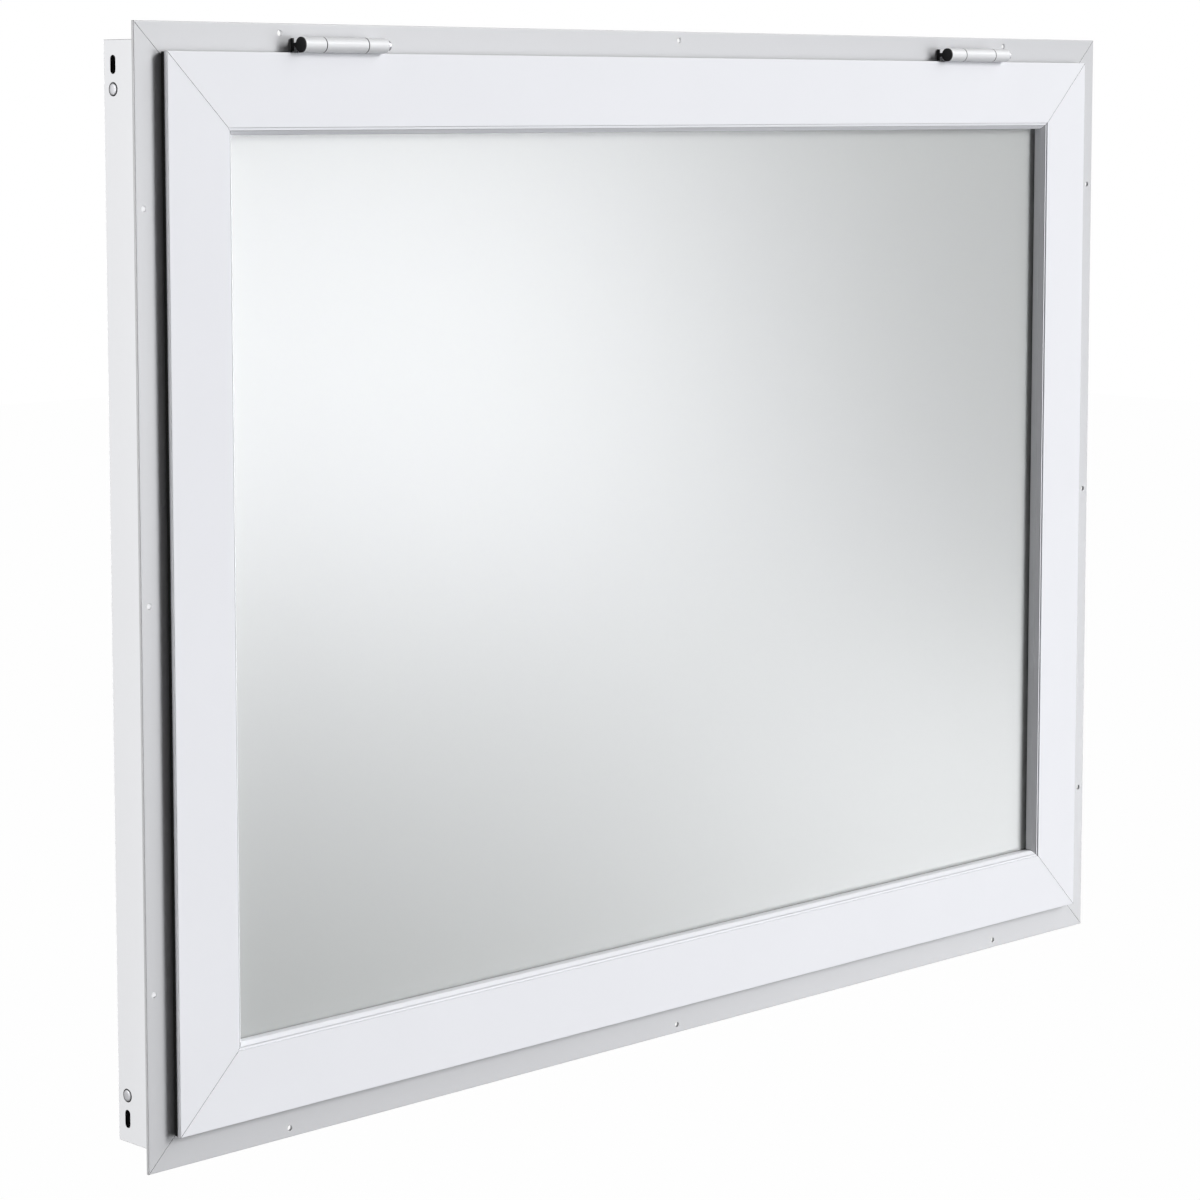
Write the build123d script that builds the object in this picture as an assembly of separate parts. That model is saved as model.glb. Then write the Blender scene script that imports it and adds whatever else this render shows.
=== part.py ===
"""Concession window: an aluminium wall frame with a top-hung glazed awning door on two hinges.

Millimetres. X runs to the right as seen from outside, +Y goes into the building, +Z is up.
The origin is mid-width on the rear face of the sill's flange, level with the underside of the
frame, so Y = 0 is the outer face of the wall and Z = 0 is the bottom of the wall's cut-out.
"""

import os
from build123d import *

# wall cut-out and the frame that fills it
opening_width = 1219.2
opening_height = 914.4
flange_lap = 14.5
flange_thickness = 2.5
frame_depth = 57.5
frame_tube_width = 30.0
frame_wall = 2.0
frame_inner_round = 1.5
flange_edge_round = 0.8
mitre_gap = 0.35

# screw holes through the flange, and slots in the sides of the jambs
flange_hole_d = 5.0
flange_hole_edge = 8.0
flange_hole_end = 150.0
slot_length = 15.5
slot_width = 7.0
slot_end = 20.0
slot_back = 13.0

# corner keys inside the frame tubes
frame_key_leg = 70.0
frame_key_thickness = 5.0
frame_key_width = 26.0
key_slip = 0.15

# awning door: overlap of the frame, face, tube and glazing leg
door_side_inset = 26.0
door_top_inset = 24.0
door_bottom_inset = 27.5
door_lip_gap = 5.7
door_edge_depth = 3.8
door_edge_wall = 2.2
door_face_wall = 2.2
door_face_width = 61.5
door_tube_start = 26.0
door_tube_back = 18.0
door_wall = 2.0
door_edge_round = 0.8
glazing_leg_width = 12.0
door_key_leg = 62.0
door_key_thickness = 6.0
door_key_width = 18.0

# glass, beads, gaskets and the weather seal
glass_recess = 13.0
glass_thickness = 5.0
glass_edge_gap = 2.0
bead_width = 6.2
bead_depth = 10.8
bead_step = 1.0
bead_seam = 0.15
bead_foot = 2.6
bead_flat = 2.1
bead_groove_width = 0.6
bead_groove_depth = 1.2
bead_shoulder = 0.3
bead_crest_round = 2.0
gasket_setback = 2.5
rear_gasket_thickness = 1.5
rear_gasket_setback = 1.0
seal_start = 0.4
seal_width = 6.0
seal_nose_round = 1.5
seal_leaf_gap = 1.0
seal_clearance = 0.5

# hinges
hinge_from_end = 208.1
knuckle_outer = 22.4
knuckle_middle = 46.0
knuckle_gap = 0.9
barrel_r = 6.5
pin_r = 3.0
pin_clearance = 0.3
pin_head_r = 4.2
pin_head_length = 4.2
hinge_axis_above_door = 6.4
hinge_axis_ahead = 13.0
frame_leaf_thickness = 3.0
frame_leaf_half_height = 5.5
neck_half_height = 1.8
cap_thickness = 1.2
leaf_fit = 0.3
door_leaf_thickness = 3.0
door_leaf_reach = 9.5

# planes and outlines that follow from the sizes above
flange_front = -flange_thickness
flange_left = -opening_width / 2 - flange_lap
flange_right = opening_width / 2 + flange_lap
flange_bottom = -flange_lap
flange_top = opening_height + flange_lap
frame_inset = flange_lap + frame_tube_width
door_left = flange_left + door_side_inset
door_right = flange_right - door_side_inset
door_bottom = flange_bottom + door_bottom_inset
door_top = flange_top - door_top_inset
lip_back = flange_front - door_lip_gap
door_front = lip_back - door_edge_depth
face_back = door_front + door_face_wall
glass_front = door_front + glass_recess
glass_back = glass_front + glass_thickness
leg_front = glass_back + rear_gasket_thickness
bead_front = door_front + bead_step
bead_back = bead_front + bead_depth
glass_inset = door_face_width + glass_edge_gap
axis_y = flange_front - hinge_axis_ahead
axis_z = door_top + hinge_axis_above_door
bore_r = pin_r + pin_clearance
hinge_centre_x = flange_right - hinge_from_end
reach = 120.0


def block(u0, u1, v0, v1):
    """Rectangle between two corners."""
    return Pos((u0 + u1) / 2, (v0 + v1) / 2) * Rectangle(u1 - u0, v1 - v0)


def corner_points(sketch, *points):
    """Vertices of a sketch that lie at the given points."""
    near = 1e-4
    return [v for v in sketch.vertices() for u, w in points if abs(v.X - u) < near and abs(v.Y - w) < near]


def member(profile, left, right, bottom, top, side, gap=mitre_gap):
    """One mitred side of a surround; the profile's first axis runs inward, its second along +Y."""
    starts = {
        "head": ((left, 0, top), (0, 0, -1), (1, 0, 0), right - left),
        "sill": ((right, 0, bottom), (0, 0, 1), (-1, 0, 0), right - left),
        "left": ((left, 0, bottom), (1, 0, 0), (0, 0, 1), top - bottom),
        "right": ((right, 0, top), (-1, 0, 0), (0, 0, -1), top - bottom),
    }
    origin, inward, run, length = starts[side]
    bar = extrude(Plane(origin=origin, x_dir=inward, z_dir=run) * profile, amount=length)
    normal = Vector(*inward).cross(Vector(*run))
    trim = gap / 2 * 2**0.5
    outline = [
        (-1, trim - 1),
        (reach, reach + trim),
        (reach, length - reach - trim),
        (-1, length + 1 - trim),
    ]
    wedge = extrude(
        Plane(origin=origin, x_dir=inward, z_dir=normal) * make_face(Polyline(*outline, close=True)),
        amount=3 * reach,
        both=True,
    )
    return bar & wedge


def surround(profile, left, right, bottom, top):
    """The four mitred sides of a rectangular surround."""
    return {s: member(profile, left, right, bottom, top, s) for s in ("head", "sill", "left", "right")}


def drill_y(x, z, d):
    """Round cutter along Y through the flange."""
    return Pos(x, flange_front / 2, z) * Rot(90, 0, 0) * Cylinder(d / 2, 4 * flange_thickness)


def corner_keys(left, right, bottom, top, inset, thickness, leg, y0, y1):
    """Four angle-shaped keys that lie against the outer walls inside the corners of a surround."""
    keys = []
    for cx, sx in ((left, 1), (right, -1)):
        for cz, sz in ((bottom, 1), (top, -1)):
            near, deep, far = inset, inset + thickness, inset + leg
            steps = [(near, near), (far, near), (far, deep), (deep, deep), (deep, far), (near, far)]
            outline = [(cx + sx * u, cz + sz * w) for u, w in steps]
            face = make_face(Polyline(*outline, close=True))
            plane = Plane(origin=(0, y1, 0), x_dir=(1, 0, 0), z_dir=(0, -1, 0))
            keys.append(extrude(plane * face, amount=y1 - y0))
    return keys


# wall frame: a rectangular tube with the flange in the plane of its front wall
frame_section = block(0, frame_inset, flange_front, 0)
frame_section += block(flange_lap, frame_inset, flange_front, frame_depth)
frame_section -= block(flange_lap + frame_wall, frame_inset - frame_wall, 0, frame_depth - frame_wall)
frame_section = fillet(corner_points(frame_section, (0, flange_front)), flange_edge_round)
tube_corners = [(frame_inset, flange_front), (frame_inset, frame_depth), (flange_lap, frame_depth)]
frame_section = fillet(corner_points(frame_section, *tube_corners), frame_inner_round)
frame = surround(frame_section, flange_left, flange_right, flange_bottom, flange_top)

hole_x = (flange_left + flange_hole_end, 0, flange_right - flange_hole_end)
hole_z = (flange_bottom + flange_hole_end, (flange_bottom + flange_top) / 2, flange_top - flange_hole_end)
for x in hole_x:
    frame["head"] -= drill_y(x, flange_top - flange_hole_edge, flange_hole_d)
    frame["sill"] -= drill_y(x, flange_bottom + flange_hole_edge, flange_hole_d)
for z in hole_z:
    frame["left"] -= drill_y(flange_left + flange_hole_edge, z, flange_hole_d)
    frame["right"] -= drill_y(flange_right - flange_hole_edge, z, flange_hole_d)

slot_y = frame_depth - slot_back
slot_depth = 2 * (frame_wall + frame_key_thickness) + 2
slot_cutters = {"left": [], "right": []}
for side, x in (("left", -opening_width / 2), ("right", opening_width / 2)):
    for z in (slot_end, opening_height - slot_end):
        plane = Plane(origin=(x, slot_y, z), x_dir=(0, 0, 1), z_dir=(1, 0, 0))
        outline = plane * SlotOverall(slot_length, slot_width)
        slot_cutters[side].append(extrude(outline, amount=slot_depth / 2 + 1, both=True))
for side in ("left", "right"):
    for cutter in slot_cutters[side]:
        frame[side] -= cutter

frame_keys = corner_keys(
    -opening_width / 2,
    opening_width / 2,
    0,
    opening_height,
    frame_wall + key_slip,
    frame_key_thickness,
    frame_key_leg,
    slot_y - frame_key_width + slot_width,
    slot_y + slot_width,
)
for i, key in enumerate(frame_keys):
    for cutter in slot_cutters["left"] + slot_cutters["right"]:
        key -= cutter
    frame_keys[i] = key

# awning door: a tube with a lip that laps the frame outside and a leg behind the glass
door_section = block(0, door_face_width, door_front, face_back)
door_section += block(0, door_edge_wall, door_front, lip_back)
door_section += block(door_tube_start, door_face_width, door_front, door_tube_back)
leg_root, leg_end = door_face_width - door_wall, door_face_width + glazing_leg_width
door_section += block(leg_root, leg_end, leg_front, leg_front + door_wall)
door_section -= block(
    door_tube_start + door_wall, door_face_width - door_wall, face_back, door_tube_back - door_wall
)
door_section = fillet(corner_points(door_section, (0, door_front)), door_edge_round)
tube_corners = [(door_tube_start, door_tube_back), (door_face_width, door_tube_back)]
door_section = fillet(corner_points(door_section, *tube_corners), door_edge_round)
door = surround(door_section, door_left, door_right, door_bottom, door_top)

door_keys = corner_keys(
    door_left,
    door_right,
    door_bottom,
    door_top,
    door_tube_start + door_wall + key_slip,
    door_key_thickness,
    door_key_leg,
    door_tube_back - door_wall - key_slip - door_key_width,
    door_tube_back - door_wall - key_slip,
)

# glass, with a grooved, sloping bead and a gasket in front and a gasket and the door's leg behind
glass = Pos((door_left + door_right) / 2, (glass_front + glass_back) / 2, (door_bottom + door_top) / 2) * Box(
    door_right - door_left - 2 * glass_inset,
    glass_thickness,
    door_top - door_bottom - 2 * glass_inset,
)

bead_outer = door_face_width + bead_seam
bead_crest = door_face_width + bead_width
groove_outer = bead_outer + bead_flat
groove_inner = groove_outer + bead_groove_width
slope_start = bead_front + bead_shoulder
slope_end = slope_start + bead_crest - groove_inner
bead_outline = Polyline(
    (bead_crest, bead_back),
    (door_face_width, bead_back),
    (door_face_width, bead_back - bead_foot),
    (bead_outer, bead_back - bead_foot),
    (bead_outer, bead_front),
    (groove_outer, bead_front),
    (groove_outer, bead_front + bead_groove_depth),
    (groove_inner, bead_front + bead_groove_depth),
    (groove_inner, slope_start),
    (bead_crest, slope_end),
    close=True,
)
bead_section = make_face(bead_outline)
bead_section = fillet(corner_points(bead_section, (bead_crest, slope_end)), bead_crest_round)
beads = surround(bead_section, door_left, door_right, door_bottom, door_top)

front_gasket_section = block(door_face_width, bead_crest - gasket_setback, bead_back, glass_front)
front_gasket = surround(front_gasket_section, door_left, door_right, door_bottom, door_top)
rear_gasket_section = block(
    glass_inset, door_face_width + glazing_leg_width - rear_gasket_setback, glass_back, leg_front
)
rear_gasket = surround(rear_gasket_section, door_left, door_right, door_bottom, door_top)

# weather seal: a strip rooted inside the lip, closing on the front of the frame, open at the hinge leaves
seal_nose = flange_front - seal_clearance
seal_end = seal_start + seal_width
seal_section = block(door_edge_wall, seal_end, face_back, lip_back)
seal_section += block(seal_start, seal_end, lip_back, seal_nose)
nose_corners = [(seal_start, seal_nose), (seal_end, seal_nose)]
seal_section = fillet(corner_points(seal_section, *nose_corners), seal_nose_round)
seal = surround(seal_section, door_left, door_right, door_bottom, door_top)
leaf_opening = Box(knuckle_middle + 2 * seal_leaf_gap, reach, 2 * seal_end + 2)
for centre in (-hinge_centre_x, hinge_centre_x):
    seal["head"] -= Pos(centre, lip_back, door_top) * leaf_opening
seal_strips = [solid for side in seal.values() for solid in side.solids()]


def along_x(section, x0, x1):
    """Extrudes a section drawn in (Y, Z) between two values of X."""
    return extrude(Plane(origin=(x0, 0, 0), x_dir=(0, 1, 0), z_dir=(1, 0, 0)) * section, amount=x1 - x0)


def barrel(bore):
    """Section of a hinge knuckle, solid when the bore is zero."""
    ring = Pos(axis_y, axis_z) * Circle(barrel_r)
    if bore > 0:
        ring -= Pos(axis_y, axis_z) * Circle(bore)
    return ring


frame_leaf_front = flange_front - frame_leaf_thickness
frame_leaf_low, frame_leaf_high = axis_z - frame_leaf_half_height, axis_z + frame_leaf_half_height
frame_leaf = block(frame_leaf_front, flange_front, frame_leaf_low, frame_leaf_high)
neck_front, neck_low, neck_high = axis_y + bore_r + 1, axis_z - neck_half_height, axis_z + neck_half_height
neck = block(neck_front, flange_front, neck_low, neck_high)
frame_knuckle_section = barrel(bore_r) + neck + frame_leaf
cap_section = barrel(0) + neck + frame_leaf

leaf_back = lip_back + door_leaf_thickness
leaf_low = door_top - door_leaf_reach
door_knuckle_section = barrel(bore_r)
door_knuckle_section += block(neck_front, leaf_back, neck_low, neck_high)
door_knuckle_section += block(lip_back, leaf_back, leaf_low, neck_high)
door_knuckle_section += block(face_back, leaf_back, leaf_low, door_top - door_edge_wall - leaf_fit)

hinge_nodes = {}
for name, centre in (("left", -hinge_centre_x), ("right", hinge_centre_x)):
    inner = knuckle_middle / 2
    outer = inner + knuckle_outer
    frame_part = [
        along_x(frame_knuckle_section, centre - outer, centre - inner - knuckle_gap / 2),
        along_x(frame_knuckle_section, centre + inner + knuckle_gap / 2, centre + outer),
    ]
    half_middle = inner - knuckle_gap / 2
    door_part = along_x(door_knuckle_section, centre - half_middle, centre + half_middle)
    cap = along_x(cap_section, centre - outer - cap_thickness, centre - outer)
    pin = along_x(Pos(axis_y, axis_z) * Circle(pin_r), centre - outer, centre + outer)
    pin += along_x(Pos(axis_y, axis_z) * Circle(pin_head_r), centre + outer, centre + outer + pin_head_length)
    hinge_nodes[f"{name}_hinge_frame_leaf"] = Compound(children=frame_part)
    hinge_nodes[f"{name}_hinge_end_cap"] = cap
    hinge_nodes[f"{name}_hinge_door_leaf"] = door_part
    hinge_nodes[f"{name}_hinge_pin"] = pin

nodes = {
    "frame_head": frame["head"],
    "frame_sill": frame["sill"],
    "frame_left_jamb": frame["left"],
    "frame_right_jamb": frame["right"],
    "frame_corner_keys": Compound(children=frame_keys),
    "door_top_rail": door["head"],
    "door_bottom_rail": door["sill"],
    "door_left_stile": door["left"],
    "door_right_stile": door["right"],
    "door_corner_keys": Compound(children=door_keys),
    "glass_pane": glass,
    "glazing_bead_top": beads["head"],
    "glazing_bead_bottom": beads["sill"],
    "glazing_bead_left": beads["left"],
    "glazing_bead_right": beads["right"],
    "front_glazing_gasket": Compound(children=list(front_gasket.values())),
    "rear_glazing_gasket": Compound(children=list(rear_gasket.values())),
    "weather_seal": Compound(children=seal_strips),
    **hinge_nodes,
}

os.makedirs("parts", exist_ok=True)
for node, shape in nodes.items():
    export_step(shape, f"parts/{node}.step")
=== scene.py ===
"""Looks for the concession window: coats, glass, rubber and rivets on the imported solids, and a studio."""
import math

import bmesh
import bpy
from mathutils import Matrix, Quaternion, Vector


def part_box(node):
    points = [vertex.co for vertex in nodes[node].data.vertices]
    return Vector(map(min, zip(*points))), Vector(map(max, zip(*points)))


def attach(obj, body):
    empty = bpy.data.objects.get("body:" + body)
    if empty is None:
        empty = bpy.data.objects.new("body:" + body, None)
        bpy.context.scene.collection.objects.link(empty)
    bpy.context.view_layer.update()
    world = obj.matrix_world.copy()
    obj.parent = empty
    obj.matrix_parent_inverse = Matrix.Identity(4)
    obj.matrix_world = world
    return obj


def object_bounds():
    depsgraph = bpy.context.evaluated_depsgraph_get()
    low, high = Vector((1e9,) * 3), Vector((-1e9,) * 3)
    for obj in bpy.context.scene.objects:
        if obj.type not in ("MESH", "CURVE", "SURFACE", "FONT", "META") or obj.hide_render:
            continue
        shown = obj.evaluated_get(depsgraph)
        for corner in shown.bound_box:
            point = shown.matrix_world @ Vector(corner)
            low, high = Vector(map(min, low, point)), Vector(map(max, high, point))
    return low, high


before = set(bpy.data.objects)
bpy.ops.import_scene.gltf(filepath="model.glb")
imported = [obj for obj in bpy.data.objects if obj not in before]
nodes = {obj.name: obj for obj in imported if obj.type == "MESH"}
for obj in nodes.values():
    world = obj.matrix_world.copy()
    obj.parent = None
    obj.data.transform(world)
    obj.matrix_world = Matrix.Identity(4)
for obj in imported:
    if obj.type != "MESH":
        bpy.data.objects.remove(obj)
cad_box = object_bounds()
scene = bpy.context.scene

MM = 0.001

# frame tube and door tube, as far as the looks need them
FRAME_WIDTH = 44.5 * MM
FRAME_TUBE_WIDTH = 30.0 * MM
FLANGE_LAP = FRAME_WIDTH - FRAME_TUBE_WIDTH
FRAME_WALL = 2.0 * MM
DOOR_TUBE_START = 26.0 * MM
DOOR_FACE_WIDTH = 61.5 * MM
DOOR_WALL = 2.0 * MM
DOOR_FACE_WALL = 2.2 * MM

# slots in the sides of the jambs
SLOT_FROM_END = 20.0 * MM
SLOT_LENGTH = 15.5 * MM
SLOT_WIDTH = 7.0 * MM

# rivets in the sides of the jambs, in line with the slots
RIVET_FROM_END = 40.0 * MM
SIDE_ROW_FROM_BACK = 13.0 * MM
RIVET_RADIUS = 4.8 * MM
RIVET_RISE = 0.8 * MM
RIVET_EDGE = 0.05 * MM
# a ring round each head painted black as its shadow: its width, and how far it stands proud
RIVET_RING = 1.0 * MM
PAINTED_SHADOW_RING_RISE = 0.08 * MM
RIVET_SINK = -0.2 * MM
RIVET_SEGMENTS = 40

# camera, fitted to the corners of the flange and the door in the photograph
CAMERA_SPOT = (-2.2980, -2.2279, 0.8621)
CAMERA_YAW = 44.612
CAMERA_PITCH = 5.826
CAMERA_LENS = 103.343
CAMERA_SENSOR = 36.0
CAMERA_SHIFT_Y = -0.12

# base tones of the materials
FRAME_WHITE = (0.605, 0.609, 0.624)
DOOR_WHITE = (0.88, 0.887, 0.921)
HINGE_WHITE = (0.79, 0.795, 0.81)
# near-black tones for hollows and sawn ends (bare metal darkened to painted shade) and for slot walls,
# seams and knuckle ends (painted shade)
BARE_AND_PAINTED_SHADE_TONE = (0.012, 0.012, 0.012)
DOOR_BARE_AND_PAINTED_SHADE_TONE = (0.08, 0.08, 0.08)
EDGE_TONE = (0.36, 0.36, 0.37)
RUBBER = (0.016, 0.016, 0.017)
PLASTIC = (0.012, 0.012, 0.013)
# black of the ring round each rivet head, a painted shadow
PAINTED_SHADOW_RING_BLACK = (0.02, 0.02, 0.02)
GLASS = (0.447, 0.461, 0.454)
PIN_STEEL = (0.22, 0.22, 0.23)
KEY_METAL = (0.05, 0.05, 0.05)
RIVET_METAL = (0.26, 0.26, 0.27)

# gloss and roughness of the coats, roughness of the metals
FRAME_GLOSS, FRAME_ROUGH = 0.45, 0.34
DOOR_GLOSS, DOOR_ROUGH = 0.2, 0.47
HINGE_GLOSS, HINGE_ROUGH = 0.38, 0.4
PIN_ROUGH = 0.4
KEY_ROUGH = 0.6
RIVET_ROUGH = 0.55

# coat: faint clouds of tone and a fine orange peel
COAT_CLOUD_SCALE = 9.0
COAT_CLOUD_SHADE = 0.988
COAT_PEEL_SCALE = 900.0
COAT_PEEL_DEPTH = 0.03 * MM
COAT_PEEL_STRENGTH = 0.35
COAT_ROUGH_SPREAD = 0.04
COAT_NOISE_DETAIL = 2.0

# etched glass: faint clouds, fine grain, blurred reflections
GLASS_CLOUD_SCALE = 3.0
GLASS_CLOUD_SHADE = 0.985
GLASS_GRAIN_SCALE = 1600.0
GLASS_GRAIN_DEPTH = 0.01 * MM
GLASS_GRAIN_STRENGTH = 0.2
GLASS_NOISE_DETAIL = 2.0
GLASS_ROUGH = (0.225, 0.265)
GLASS_IOR = 1.5
GLASS_GLOSS = 0.8
GLASS_TRANSMISSION = 0.12

# rubber and plastic
RUBBER_GRAIN_SCALE = 700.0
RUBBER_SHADE = 0.7
RUBBER_GRAIN_DEPTH = 0.04 * MM
RUBBER_GRAIN_STRENGTH = 0.4
RUBBER_ROUGH = (0.62, 0.78)
RUBBER_GLOSS = 0.3

# bare metal, with its grain drawn out along X
METAL_GRAIN_SCALE = 500.0
METAL_GRAIN_STRETCH = (0.15, 1.0, 1.0)
METAL_SHADE = 0.9
METAL_GRAIN_DEPTH = 0.02 * MM
METAL_GRAIN_STRENGTH = 0.3
METAL_ROUGH_SPREAD = 0.06

# normals count as a mitre's above the first level, and as facing an axis above the second
MITRE_LEAN = 0.4
FACING_LEVEL = 0.9

# masks on the tubes: slack round a wall, how far a mitre reaches, depth of the seam beside the beads, whose
# walls are painted dark as shade
MARGIN = 0.1 * MM
MITRE_REACH = 90.0 * MM
SEAM_START = 1.15 * MM
SEAM_END = 12.0 * MM

# studio: floor well below the window, white to the camera and to reflections, dark to other light
FLOOR_Z = -2.5
FLOOR_SIZE = 60.0
FLOOR_TONE = 0.10
FLOOR_ROUGH = 0.9
FLOOR_WHITENESS = 0.99
AMBIENT = 0.006
COOL = (0.96, 0.97, 1.0)


def mesh_material(name):
    """A new material with its shader, ready to be wired."""
    mat = bpy.data.materials.new(name)
    mat.use_nodes = True
    tree = mat.node_tree
    return mat, tree, tree.nodes["Principled BSDF"]


def noise(tree, scale, detail=3.0, stretch=None):
    """Noise over the object's own coordinates, in metres."""
    coords = tree.nodes.new("ShaderNodeTexCoord")
    tex = tree.nodes.new("ShaderNodeTexNoise")
    tex.inputs["Scale"].default_value = scale
    tex.inputs["Detail"].default_value = detail
    if stretch is None:
        tree.links.new(coords.outputs["Object"], tex.inputs["Vector"])
    else:
        mapping = tree.nodes.new("ShaderNodeMapping")
        mapping.inputs["Scale"].default_value = stretch
        tree.links.new(coords.outputs["Object"], mapping.inputs["Vector"])
        tree.links.new(mapping.outputs["Vector"], tex.inputs["Vector"])
    return tex.outputs["Fac"]


def ramp(tree, fac, tone, shade, start=0.3, end=0.7):
    """Colour between a shaded tone and the full tone, driven by a texture."""
    node = tree.nodes.new("ShaderNodeValToRGB")
    first, last = node.color_ramp.elements
    first.position, last.position = start, end
    first.color = (*(part * shade for part in tone), 1)
    last.color = (*tone, 1)
    tree.links.new(fac, node.inputs["Fac"])
    return node.outputs["Color"]


def spread(tree, fac, low, high):
    """Value between two levels, driven by a texture."""
    node = tree.nodes.new("ShaderNodeMapRange")
    node.inputs["To Min"].default_value = low
    node.inputs["To Max"].default_value = high
    tree.links.new(fac, node.inputs["Value"])
    return node.outputs["Result"]


def bump(tree, shader, fac, distance, strength):
    """Fine relief from a texture."""
    node = tree.nodes.new("ShaderNodeBump")
    node.inputs["Strength"].default_value = strength
    node.inputs["Distance"].default_value = distance
    tree.links.new(fac, node.inputs["Height"])
    tree.links.new(node.outputs["Normal"], shader.inputs["Normal"])


def math_node(tree, operation, first, second):
    """Joins two sockets, or a socket and a fixed level, by the given operation."""
    node = tree.nodes.new("ShaderNodeMath")
    node.operation = operation
    for socket, value in zip(node.inputs, (first, second)):
        if isinstance(value, (int, float)):
            socket.default_value = value
        else:
            tree.links.new(value, socket)
    return node.outputs["Value"]


def split_coords(tree, kind):
    """The three components of the object's own coordinates or normals."""
    coords = tree.nodes.new("ShaderNodeTexCoord")
    split = tree.nodes.new("ShaderNodeSeparateXYZ")
    tree.links.new(coords.outputs[kind], split.inputs["Vector"])
    return split.outputs


def inside(tree, spans):
    """One where the object's coordinates lie within every span {axis: (low, high)}, else zero."""
    place = split_coords(tree, "Object")
    mask = None
    for axis, (low, high) in spans.items():
        above = math_node(tree, "GREATER_THAN", place[axis], low)
        below = math_node(tree, "LESS_THAN", place[axis], high)
        both = math_node(tree, "MULTIPLY", above, below)
        mask = both if mask is None else math_node(tree, "MULTIPLY", mask, both)
    return mask


def sawn_ends(tree):
    """One on the faces of a mitre, which lean equally along X and Z."""
    normal = split_coords(tree, "Normal")
    lean = math_node(tree, "MULTIPLY", normal["X"], normal["Z"])
    return math_node(tree, "GREATER_THAN", math_node(tree, "ABSOLUTE", lean, 0), MITRE_LEAN)


def facing(tree, axis, sign):
    """One on the faces that look along one axis, in one direction or, with a sign of zero, in both."""
    part = split_coords(tree, "Normal")[axis]
    part = math_node(tree, "MULTIPLY", part, sign) if sign else math_node(tree, "ABSOLUTE", part, 0)
    return math_node(tree, "GREATER_THAN", part, FACING_LEVEL)


def cover(tree, colour, masks, tone):
    """Puts a plain tone over a colour wherever one of the masks is one."""
    joined = masks[0](tree)
    for make_mask in masks[1:]:
        joined = math_node(tree, "MAXIMUM", joined, make_mask(tree))
    mix = tree.nodes.new("ShaderNodeMix")
    mix.data_type = "RGBA"
    tree.links.new(joined, mix.inputs["Factor"])
    tree.links.new(colour, mix.inputs["A"])
    mix.inputs["B"].default_value = (*tone, 1)
    return mix.outputs["Result"]


def powder_coat(name, tone, gloss, rough, bare_and_shade_masks, bare_and_shade_tone, edge_masks=()):
    """Satin white coat with a faint orange peel; sawn ends and hollows are bare metal painted near black as
    shade, and seams and gaps are painted dark as shade.
    """
    mat, tree, shader = mesh_material(name)
    cloud = noise(tree, COAT_CLOUD_SCALE, COAT_NOISE_DETAIL)
    colour = ramp(tree, cloud, tone, COAT_CLOUD_SHADE)
    if edge_masks:
        colour = cover(tree, colour, edge_masks, EDGE_TONE)
    colour = cover(tree, colour, bare_and_shade_masks, bare_and_shade_tone)
    tree.links.new(colour, shader.inputs["Base Color"])
    peel = noise(tree, COAT_PEEL_SCALE, COAT_NOISE_DETAIL)
    roughness = spread(tree, peel, rough - COAT_ROUGH_SPREAD, rough + COAT_ROUGH_SPREAD)
    tree.links.new(roughness, shader.inputs["Roughness"])
    shader.inputs["Specular IOR Level"].default_value = gloss
    bump(tree, shader, peel, COAT_PEEL_DEPTH, COAT_PEEL_STRENGTH)
    return mat


def satin_glass(name, tone):
    """Etched, obscured glass: pale body, blurred reflections, a fine etched grain."""
    mat, tree, shader = mesh_material(name)
    cloud = noise(tree, GLASS_CLOUD_SCALE, GLASS_NOISE_DETAIL)
    tree.links.new(ramp(tree, cloud, tone, GLASS_CLOUD_SHADE), shader.inputs["Base Color"])
    grain = noise(tree, GLASS_GRAIN_SCALE, GLASS_NOISE_DETAIL)
    tree.links.new(spread(tree, grain, *GLASS_ROUGH), shader.inputs["Roughness"])
    shader.inputs["IOR"].default_value = GLASS_IOR
    shader.inputs["Specular IOR Level"].default_value = GLASS_GLOSS
    shader.inputs["Transmission Weight"].default_value = GLASS_TRANSMISSION
    bump(tree, shader, grain, GLASS_GRAIN_DEPTH, GLASS_GRAIN_STRENGTH)
    return mat


def black_rubber(name, tone):
    """Matt rubber, or plastic moulded to look like it."""
    mat, tree, shader = mesh_material(name)
    grain = noise(tree, RUBBER_GRAIN_SCALE)
    tree.links.new(ramp(tree, grain, tone, RUBBER_SHADE), shader.inputs["Base Color"])
    tree.links.new(spread(tree, grain, *RUBBER_ROUGH), shader.inputs["Roughness"])
    shader.inputs["Specular IOR Level"].default_value = RUBBER_GLOSS
    bump(tree, shader, grain, RUBBER_GRAIN_DEPTH, RUBBER_GRAIN_STRENGTH)
    return mat


def bare_metal(name, tone, rough):
    """Uncoated metal with a fine drawn grain."""
    mat, tree, shader = mesh_material(name)
    grain = noise(tree, METAL_GRAIN_SCALE, stretch=METAL_GRAIN_STRETCH)
    tree.links.new(ramp(tree, grain, tone, METAL_SHADE), shader.inputs["Base Color"])
    roughness = spread(tree, grain, rough - METAL_ROUGH_SPREAD, rough + METAL_ROUGH_SPREAD)
    tree.links.new(roughness, shader.inputs["Roughness"])
    shader.inputs["Metallic"].default_value = 1.0
    bump(tree, shader, grain, METAL_GRAIN_DEPTH, METAL_GRAIN_STRENGTH)
    return mat


def dress(node, material):
    """Puts one material on a node."""
    slots = nodes[node].data.materials
    slots.clear()
    slots.append(material)


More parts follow.
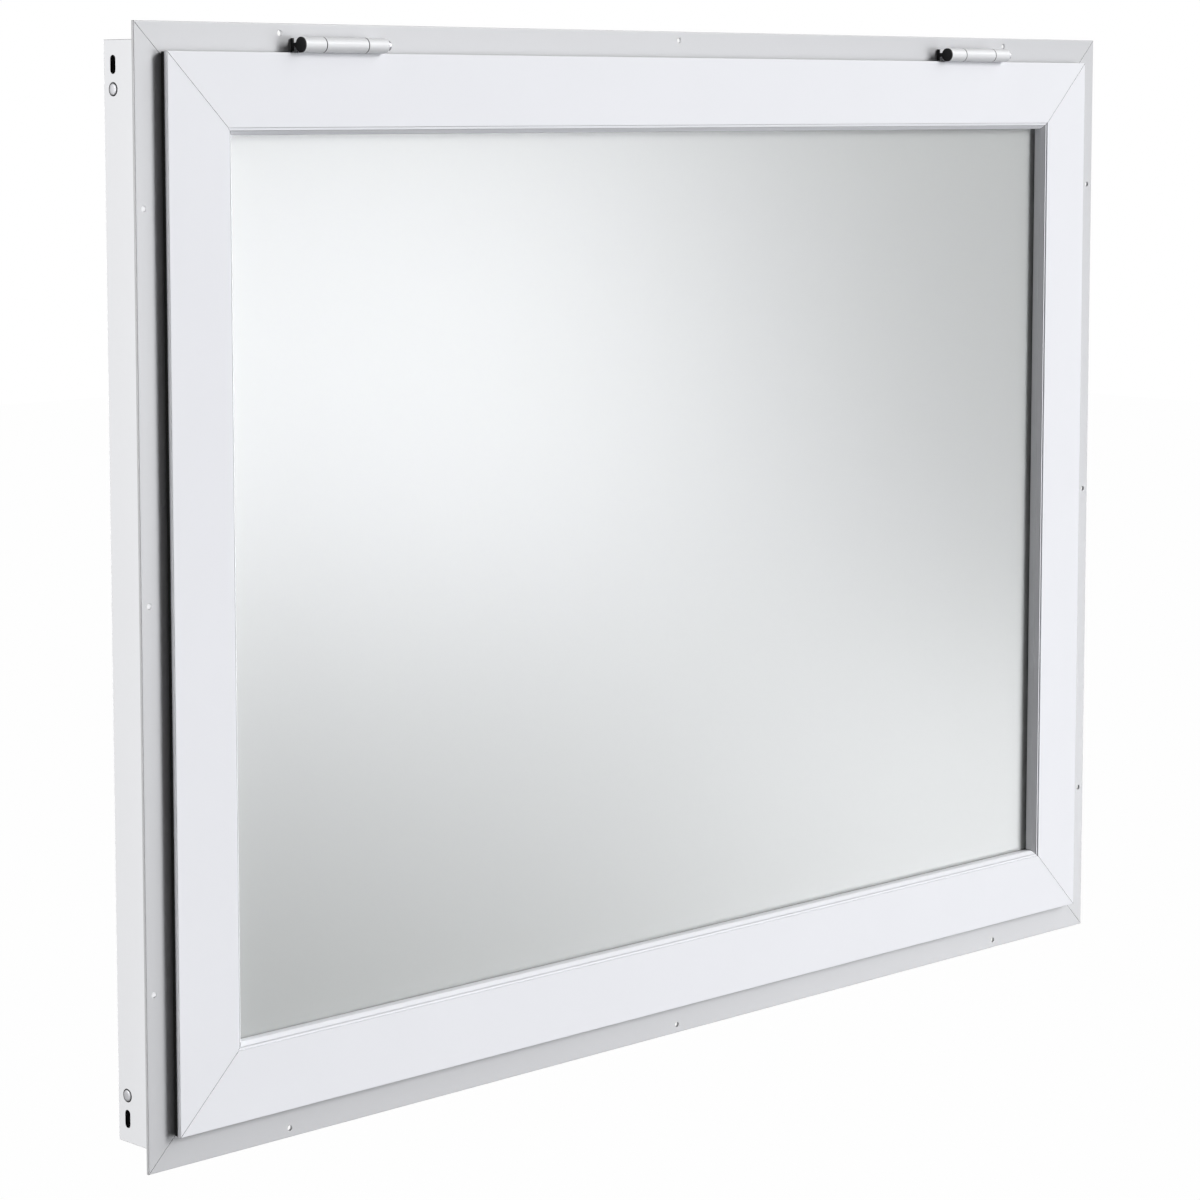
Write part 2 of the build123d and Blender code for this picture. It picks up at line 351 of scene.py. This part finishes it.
def tube_coat(node, tone, gloss, rough, bare_and_shade_tone, wall_starts, hollow_depth, seam_depth=None):
    """Coat for one mitred tube, away from its holes: bare metal in its hollow and on its sawn ends, painted
    dark as shade, and painted shade on a jamb's slot walls and on a door tube's seam beside the bead.
    The wall starts are the hollow's sides, measured from the tube's outer edge."""
    low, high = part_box(node)
    upright = node.endswith(("jamb", "stile"))
    across, along = ("X", "Z") if upright else ("Z", "X")
    index = "XYZ".index(across)
    from_low = "left" in node or node in ("frame_sill", "door_bottom_rail")
    outer, sign = (low[index], 1) if from_low else (high[index], -1)
    at = [outer + sign * start for start in wall_starts]
    # the hollow's inside, painted dark as its shade
    masks = [lambda tree: inside(tree, {across: sorted(at), "Y": hollow_depth})]
    # sawn ends near the mitres, painted dark as the shade in the joint
    run = "XYZ".index(along)
    plain = {along: (low[run] + MITRE_REACH, high[run] - MITRE_REACH)}
    masks.append(lambda tree: math_node(tree, "SUBTRACT", sawn_ends(tree), inside(tree, plain)))
    edges = []
    # on a door tube, the wall beside the bead is painted dark as the seam's shade
    if seam_depth:
        inner = outer + sign * DOOR_FACE_WIDTH
        seam = {across: (inner - MARGIN, inner + MARGIN), "Y": seam_depth}
        masks.append(lambda tree: inside(tree, seam))
    else:
        rim = {across: (outer - MARGIN, outer + MARGIN)}
        edges.append(lambda tree: inside(tree, rim))
    # on a jamb, the slots' walls are painted dark as the shade inside them
    if node.endswith("jamb"):
        side = outer + sign * FLANGE_LAP
        wall = sorted((side + sign * MARGIN, side + sign * (FRAME_WALL + MARGIN)))
        row = high[1] - SIDE_ROW_FROM_BACK
        depth = (row - SLOT_WIDTH / 2 - MARGIN, row + SLOT_WIDTH / 2 + MARGIN)
        half = SLOT_LENGTH / 2 + MARGIN
        for z in (cad_box[0][2] + FLANGE_LAP + SLOT_FROM_END, cad_box[1][2] - FLANGE_LAP - SLOT_FROM_END):
            slot = {"X": wall, "Y": depth, "Z": (z - half, z + half)}
            masks.append(lambda tree, slot=slot: inside(tree, slot))
    return powder_coat("coat_" + node, tone, gloss, rough, masks, bare_and_shade_tone, edges)


# frame tubes: hollows, sawn ends and slot walls painted near black as shade
for node in ("frame_left_jamb", "frame_right_jamb", "frame_head", "frame_sill"):
    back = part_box(node)[1][1]
    walls = (FLANGE_LAP + FRAME_WALL - MARGIN, FRAME_WIDTH - FRAME_WALL + MARGIN)
    depth = (-MARGIN, back - FRAME_WALL + MARGIN)
    dress(node, tube_coat(node, FRAME_WHITE, FRAME_GLOSS, FRAME_ROUGH, BARE_AND_PAINTED_SHADE_TONE, walls, depth))

# door tubes: hollows and sawn ends bare metal painted dark as shade, and the seam beside the bead painted
# dark as shade
for node in ("door_left_stile", "door_right_stile", "door_top_rail", "door_bottom_rail"):
    low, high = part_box(node)
    walls = (DOOR_TUBE_START + DOOR_WALL - MARGIN, DOOR_FACE_WIDTH - DOOR_WALL + MARGIN)
    depth = (low[1] + DOOR_FACE_WALL - MARGIN, high[1] - DOOR_WALL + MARGIN)
    seam_depth = (low[1] + SEAM_START, low[1] + SEAM_END)
    coat = tube_coat(node, DOOR_WHITE, DOOR_GLOSS, DOOR_ROUGH, DOOR_BARE_AND_PAINTED_SHADE_TONE, walls, depth, seam_depth)
    dress(node, coat)

# beads: sawn ends and the side facing the door tube painted dark as the seam's shade
for side, axis, sign in (("left", "X", -1), ("right", "X", 1), ("bottom", "Z", -1), ("top", "Z", 1)):
    masks = [sawn_ends, lambda tree: facing(tree, axis, sign)]
    coat = powder_coat("coat_bead_" + side, DOOR_WHITE, DOOR_GLOSS, DOOR_ROUGH, masks, DOOR_BARE_AND_PAINTED_SHADE_TONE)
    dress("glazing_bead_" + side, coat)

# the leaves' faces that look along X, the knuckles' ends in the gaps among them, are painted near black as
# shade
painted_shade_knuckle_ends = [lambda tree: facing(tree, "X", 0)]
hinge_coat = powder_coat("coat_hinges", HINGE_WHITE, HINGE_GLOSS, HINGE_ROUGH, painted_shade_knuckle_ends, BARE_AND_PAINTED_SHADE_TONE)
rubber = black_rubber("rubber", RUBBER)
cap_plastic = black_rubber("cap_plastic", PLASTIC)
steel = bare_metal("pin_steel", PIN_STEEL, PIN_ROUGH)
key_metal = bare_metal("key_metal", KEY_METAL, KEY_ROUGH)
glass = satin_glass("satin_glass", GLASS)

for node in nodes:
    if node.endswith("_leaf"):
        dress(node, hinge_coat)
    elif node.endswith("gasket") or node == "weather_seal":
        dress(node, rubber)
    elif node.endswith("end_cap"):
        dress(node, cap_plastic)
    elif node.endswith("_pin"):
        dress(node, steel)
    elif node.endswith("corner_keys"):
        dress(node, key_metal)
    elif node == "glass_pane":
        dress(node, glass)


def lathe(name, profile, axis_turn, spot, material):
    """Turns a profile of (radius, height) points into a mesh, with its axis laid along the given turn."""
    mesh = bpy.data.meshes.new(name)
    bm = bmesh.new()
    rings = []
    for radius, height in profile:
        if radius == 0:
            rings.append([bm.verts.new((0, 0, height))])
            continue
        angles = [2 * math.pi * i / RIVET_SEGMENTS for i in range(RIVET_SEGMENTS)]
        rings.append([bm.verts.new((radius * math.cos(a), radius * math.sin(a), height)) for a in angles])
    for inner, outer in zip(rings, rings[1:]):
        for i in range(RIVET_SEGMENTS):
            j = (i + 1) % RIVET_SEGMENTS
            if len(inner) == 1:
                bm.faces.new((inner[0], outer[i], outer[j]))
            elif len(outer) == 1:
                bm.faces.new((inner[i], outer[0], inner[j]))
            else:
                bm.faces.new((inner[i], outer[i], outer[j], inner[j]))
    bmesh.ops.recalc_face_normals(bm, faces=bm.faces)
    for face in bm.faces:
        face.smooth = True
    bm.to_mesh(mesh)
    bm.free()
    mesh.transform(Matrix.Translation(spot) @ axis_turn)
    mesh.materials.append(material)
    piece = bpy.data.objects.new(name, mesh)
    scene.collection.objects.link(piece)
    return piece


# rivet heads on the jambs' outer sides, each in a black ring that paints the shadow round the head; their
# rounding is a share of their size
rivet_metal = bare_metal("rivet_metal", RIVET_METAL, RIVET_ROUGH)
painted_shadow_ring_material = black_rubber("rivet_painted_shadow_ring", PAINTED_SHADOW_RING_BLACK)
head_profile = [
    (0, RIVET_RISE),
    (RIVET_RADIUS * 0.55, RIVET_RISE * 0.97),
    (RIVET_RADIUS * 0.85, RIVET_RISE * 0.8),
    (RIVET_RADIUS * 0.96, RIVET_RISE * 0.5),
    (RIVET_RADIUS, RIVET_EDGE),
    (RIVET_RADIUS, RIVET_SINK),
    (0, RIVET_SINK),
]
# flat black disc under each head, a painted shadow round its rim
painted_shadow_ring_profile = [
    (0, PAINTED_SHADOW_RING_RISE),
    (RIVET_RADIUS + RIVET_RING, PAINTED_SHADOW_RING_RISE),
    (RIVET_RADIUS + RIVET_RING, RIVET_SINK),
    (0, RIVET_SINK),
]
for side, node in (("left", "frame_left_jamb"), ("right", "frame_right_jamb")):
    low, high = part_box(node)
    face_x = high[0] - FRAME_TUBE_WIDTH if side == "left" else low[0] + FRAME_TUBE_WIDTH
    turn = Matrix.Rotation(math.radians(-90 if side == "left" else 90), 4, "Y")
    lap = face_x - low[0] if side == "left" else high[0] - face_x
    frame_low, frame_high = cad_box[0][2] + lap, cad_box[1][2] - lap
    for end, z in (("bottom", frame_low + RIVET_FROM_END), ("top", frame_high - RIVET_FROM_END)):
        spot = Vector((face_x, high[1] - SIDE_ROW_FROM_BACK, z))
        rivet_pieces = (("head", head_profile, rivet_metal), ("seat", painted_shadow_ring_profile, painted_shadow_ring_material))
        for kind, profile, metal in rivet_pieces:
            piece = lathe(f"rivet_{kind}_{side}_{end}", profile, turn, spot, metal)
            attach(piece, "wall_frame")

WINDOW_CENTRE = Vector((0, 0, (cad_box[0][2] + cad_box[1][2]) / 2))


def lamp(name, azimuth, elevation, distance, half_angles, level, tint=(1, 1, 1), roll=0):
    """Rectangular lamp aimed at the window; azimuth 0 is straight in front, positive to the right.
    The level is the brightness that a white card facing the lamp would have."""
    data = bpy.data.lights.new(name, "AREA")
    data.shape = "RECTANGLE"
    data.size, data.size_y = (2 * distance * math.tan(math.radians(half)) for half in half_angles)
    data.energy = level * (math.pi * distance) ** 2
    data.color = tint
    obj = bpy.data.objects.new(name, data)
    a, e = math.radians(azimuth), math.radians(elevation)
    away = Vector((math.sin(a) * math.cos(e), -math.cos(a) * math.cos(e), math.sin(e)))
    obj.location = WINDOW_CENTRE + away * distance
    turn = away.to_track_quat("Z", "Y") @ Quaternion((0, 0, 1), math.radians(roll))
    obj.rotation_euler = turn.to_euler()
    obj.visible_camera = False
    scene.collection.objects.link(obj)
    return obj


# a far key from the right, and three panels that shape the blurred reflection in the glass
lamp("key", azimuth=42, elevation=22, distance=90, half_angles=(6, 10), level=0.645)
lamp("front_panel", azimuth=37, elevation=-2.5, distance=16, half_angles=(9.5, 6), level=0.20, tint=COOL)
lamp("slanted_panel", azimuth=42, elevation=-8.5, distance=10, half_angles=(13, 8), level=0.13,
     tint=COOL, roll=-45)
lamp("low_panel", azimuth=54, elevation=-16, distance=7, half_angles=(6, 6), level=0.06, tint=COOL)

# soft lights from the right for the coats, a strong one from behind on the left for the jamb's side
lamp("top_right", azimuth=60, elevation=45, distance=20, half_angles=(9, 7), level=0.13)
lamp("right_soft", azimuth=62, elevation=28, distance=60, half_angles=(12, 10), level=0.18)
lamp("left_side", azimuth=-112.7, elevation=8, distance=8, half_angles=(10, 15), level=1.19)

# a weak fill from the left for the door's edge, and a soft light for the rear side
left_fill = lamp("left_fill", azimuth=-82, elevation=5, distance=12, half_angles=(6, 10), level=0.085)
lamp("back_soft", azimuth=160, elevation=15, distance=12, half_angles=(12, 12), level=0.32)

# the left fill lights the door's tubes and beads alone, so that the gap beside the door stays dark
door_pieces = bpy.data.collections.new("door_pieces")
for node in nodes:
    if node.startswith(("door_", "glazing_bead_")):
        door_pieces.objects.link(nodes[node])
left_fill.light_linking.receiver_collection = door_pieces


def seen_directly(tree):
    """One for camera, glossy and transmission rays, else zero."""
    path = tree.nodes.new("ShaderNodeLightPath")
    total = path.outputs["Is Camera Ray"]
    for ray in ("Is Glossy Ray", "Is Transmission Ray"):
        total = math_node(tree, "MAXIMUM", total, path.outputs[ray])
    return total


world = bpy.data.worlds.new("studio")
scene.world = world
world.use_nodes = True
world_tree = world.node_tree
background = world_tree.nodes["Background"]
background.inputs["Color"].default_value = (1, 1, 1, 1)
strength = spread(world_tree, seen_directly(world_tree), AMBIENT, 1.0)
world_tree.links.new(strength, background.inputs["Strength"])

floor_mesh = bpy.data.meshes.new("floor")
half = FLOOR_SIZE / 2
floor_corners = [(x, y, FLOOR_Z) for x, y in ((-half, -half), (half, -half), (half, half), (-half, half))]
floor_mesh.from_pydata(floor_corners, [], [(0, 1, 2, 3)])
floor = bpy.data.objects.new("floor", floor_mesh)
scene.collection.objects.link(floor)
floor_mat, floor_tree, floor_shader = mesh_material("floor_pale")
floor_shader.inputs["Base Color"].default_value = (FLOOR_TONE, FLOOR_TONE, FLOOR_TONE, 1)
floor_shader.inputs["Roughness"].default_value = FLOOR_ROUGH
glow = floor_tree.nodes.new("ShaderNodeEmission")
glow.inputs["Strength"].default_value = 1.0
blend_node = floor_tree.nodes.new("ShaderNodeMixShader")
whiteness = spread(floor_tree, seen_directly(floor_tree), 0.0, FLOOR_WHITENESS)
floor_tree.links.new(whiteness, blend_node.inputs["Fac"])
floor_tree.links.new(floor_shader.outputs["BSDF"], blend_node.inputs[1])
floor_tree.links.new(glow.outputs["Emission"], blend_node.inputs[2])
floor_tree.links.new(blend_node.outputs["Shader"], floor_tree.nodes["Material Output"].inputs["Surface"])
floor_mesh.materials.append(floor_mat)

camera_data = bpy.data.cameras.new("photo_camera")
camera_data.sensor_width = CAMERA_SENSOR
camera_data.lens = CAMERA_LENS
camera_data.shift_y = CAMERA_SHIFT_Y
camera = bpy.data.objects.new("photo_camera", camera_data)
camera.location = CAMERA_SPOT
camera.rotation_euler = (math.radians(90 - CAMERA_PITCH), 0, math.radians(-CAMERA_YAW))
scene.collection.objects.link(camera)
scene.camera = camera

scene.view_settings.view_transform = "Standard"
